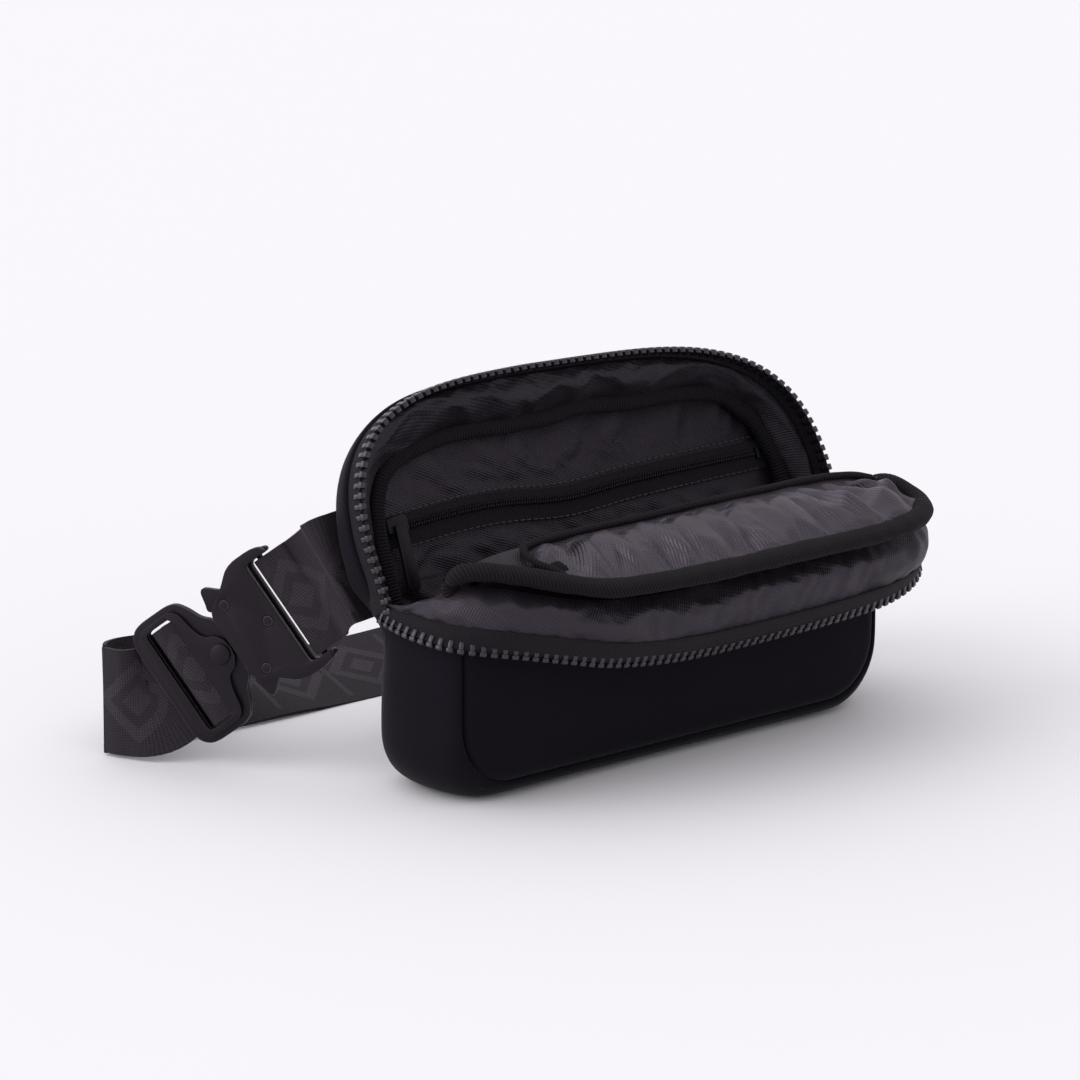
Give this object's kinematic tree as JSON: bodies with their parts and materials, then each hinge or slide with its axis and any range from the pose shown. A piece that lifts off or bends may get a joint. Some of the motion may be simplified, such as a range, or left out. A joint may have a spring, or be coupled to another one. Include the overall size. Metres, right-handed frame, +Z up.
{
  "type": "waist pack",
  "caption": "Belt bag standing open: neoprene body, leaning rear shell, folded front flap, moulded zip, inner zip pocket, webbing strap, side-release metal buckle.",
  "frame": {"origin": "on the floor under the zip plane, at the middle of the flat base", "axes": "+X to the bag's right as its front is seen, -Y to the front, +Z up"},
  "size_m": [0.2843, 0.1975, 0.137],
  "materials": {
    "neoprene": "matt bonded neoprene, navy black",
    "satin_lining": "twill satin lining, low sheen",
    "ribbed_binding": "ribbed binding tape",
    "zip_tape": "woven zip tape",
    "moulded_teeth": "moulded resin, half gloss",
    "coil_teeth": "nylon coil",
    "webbing": "woven webbing with a tone-on-tone figure",
    "coated_metal": "matt black powder coat",
    "spring_steel": "music wire"
  },
  "bodies": {
    "pack": {"front_panel_lower": "neoprene", "gusset_lower": "neoprene", "back_panel_lower": "neoprene", "lining_lower": "satin_lining", "zip_end_left": "moulded_teeth", "zip_end_right": "moulded_teeth", "main_slider": "coated_metal", "left_strap": "webbing", "long_strap": "webbing", "strap_lead": "webbing", "female_top_plate": "coated_metal", "female_bottom_plate": "coated_metal", "female_bar": "coated_metal", "rivet_lever_upper": "coated_metal", "rivet_lever_lower": "coated_metal", "rivet_center": "coated_metal", "spring_upper": "spring_steel", "spring_lower": "spring_steel"},
    "rear_shell": {"rear_panel_upper": "neoprene", "rear_gusset": "neoprene", "rear_zip_tape": "zip_tape", "rear_teeth": "moulded_teeth", "rear_gusset_lining": "satin_lining", "rear_binding": "ribbed_binding", "rear_lining": "satin_lining", "pocket_tape_lower": "zip_tape", "pocket_tape_upper": "zip_tape", "pocket_coil": "coil_teeth", "pocket_stop": "coated_metal"},
    "front_flap": {"front_panel_upper": "neoprene", "front_lining": "satin_lining", "slip_pocket": "satin_lining", "front_binding": "ribbed_binding", "pocket_edge_binding": "ribbed_binding", "front_gusset_lining": "satin_lining", "front_gusset_upper": "neoprene", "front_zip_tape": "zip_tape", "front_teeth": "moulded_teeth"},
    "pocket_slider": {"pocket_slider": "coated_metal"},
    "pocket_pull": {"pocket_pull": "coated_metal"},
    "main_pull": {"main_pull": "coated_metal"},
    "lever_upper": {"lever_upper": "coated_metal"},
    "lever_lower": {"lever_lower": "coated_metal"},
    "male_half": {"male_frame": "coated_metal", "male_cover": "coated_metal", "male_boss": "coated_metal"},
    "adjuster_bar": {"adjuster_bar": "coated_metal"}
  },
  "joints": [
    {"name": "rear_shell_lean", "type": "hinge", "parent": "pack", "child": "rear_shell", "pos_m": [0, 0.0159, 0.0589], "axis": [1, 0, 0], "range_deg": [-12, 15]},
    {"name": "front_flap_fold", "type": "hinge", "parent": "pack", "child": "front_flap", "pos_m": [0, -0.034, 0.066], "axis": [1, 0, 0], "range_deg": [-28, 4.5]},
    {"name": "pocket_zip_slide", "type": "slide", "parent": "rear_shell", "child": "pocket_slider", "axis": [1, 0, 0], "range_m": [0, 0.156]},
    {"name": "pocket_pull_swing", "type": "hinge", "parent": "pocket_slider", "child": "pocket_pull", "pos_m": [-0.0855, 0.01629, 0.08874], "axis": [1, 0, 0], "range_deg": [-60, 0]},
    {"name": "main_pull_swing", "type": "hinge", "parent": "pack", "child": "main_pull", "pos_m": [0.1146, -0.001, 0.0665], "axis": [0, 1, 0], "range_deg": [-100, 0]},
    {"name": "lever_upper_press", "type": "hinge", "parent": "pack", "child": "lever_upper", "pos_m": [-0.12974, 0.05739, 0.05979], "axis": [-0.8479, -0.5294, 0.0278], "range_deg": [0, 9], "stiffness_Nm_per_rad": 0.05, "springref_deg": -5.73},
    {"name": "lever_lower_press", "type": "hinge", "parent": "pack", "child": "lever_lower", "pos_m": [-0.12185, 0.04364, 0.03868], "axis": [0.8479, 0.5294, -0.0278], "range_deg": [0, 9], "stiffness_Nm_per_rad": 0.05, "springref_deg": -5.73},
    {"name": "buckle_release", "type": "slide", "parent": "pack", "child": "male_half", "axis": [-0.4378, 0.6698, -0.5998], "range_m": [0, 0.0125], "deforming": ["strap_lead"]},
    {"name": "adjuster_slide", "type": "slide", "parent": "male_half", "child": "adjuster_bar", "axis": [0.4378, -0.6698, 0.5998], "range_m": [-0.002, 0.002]}
  ]
}
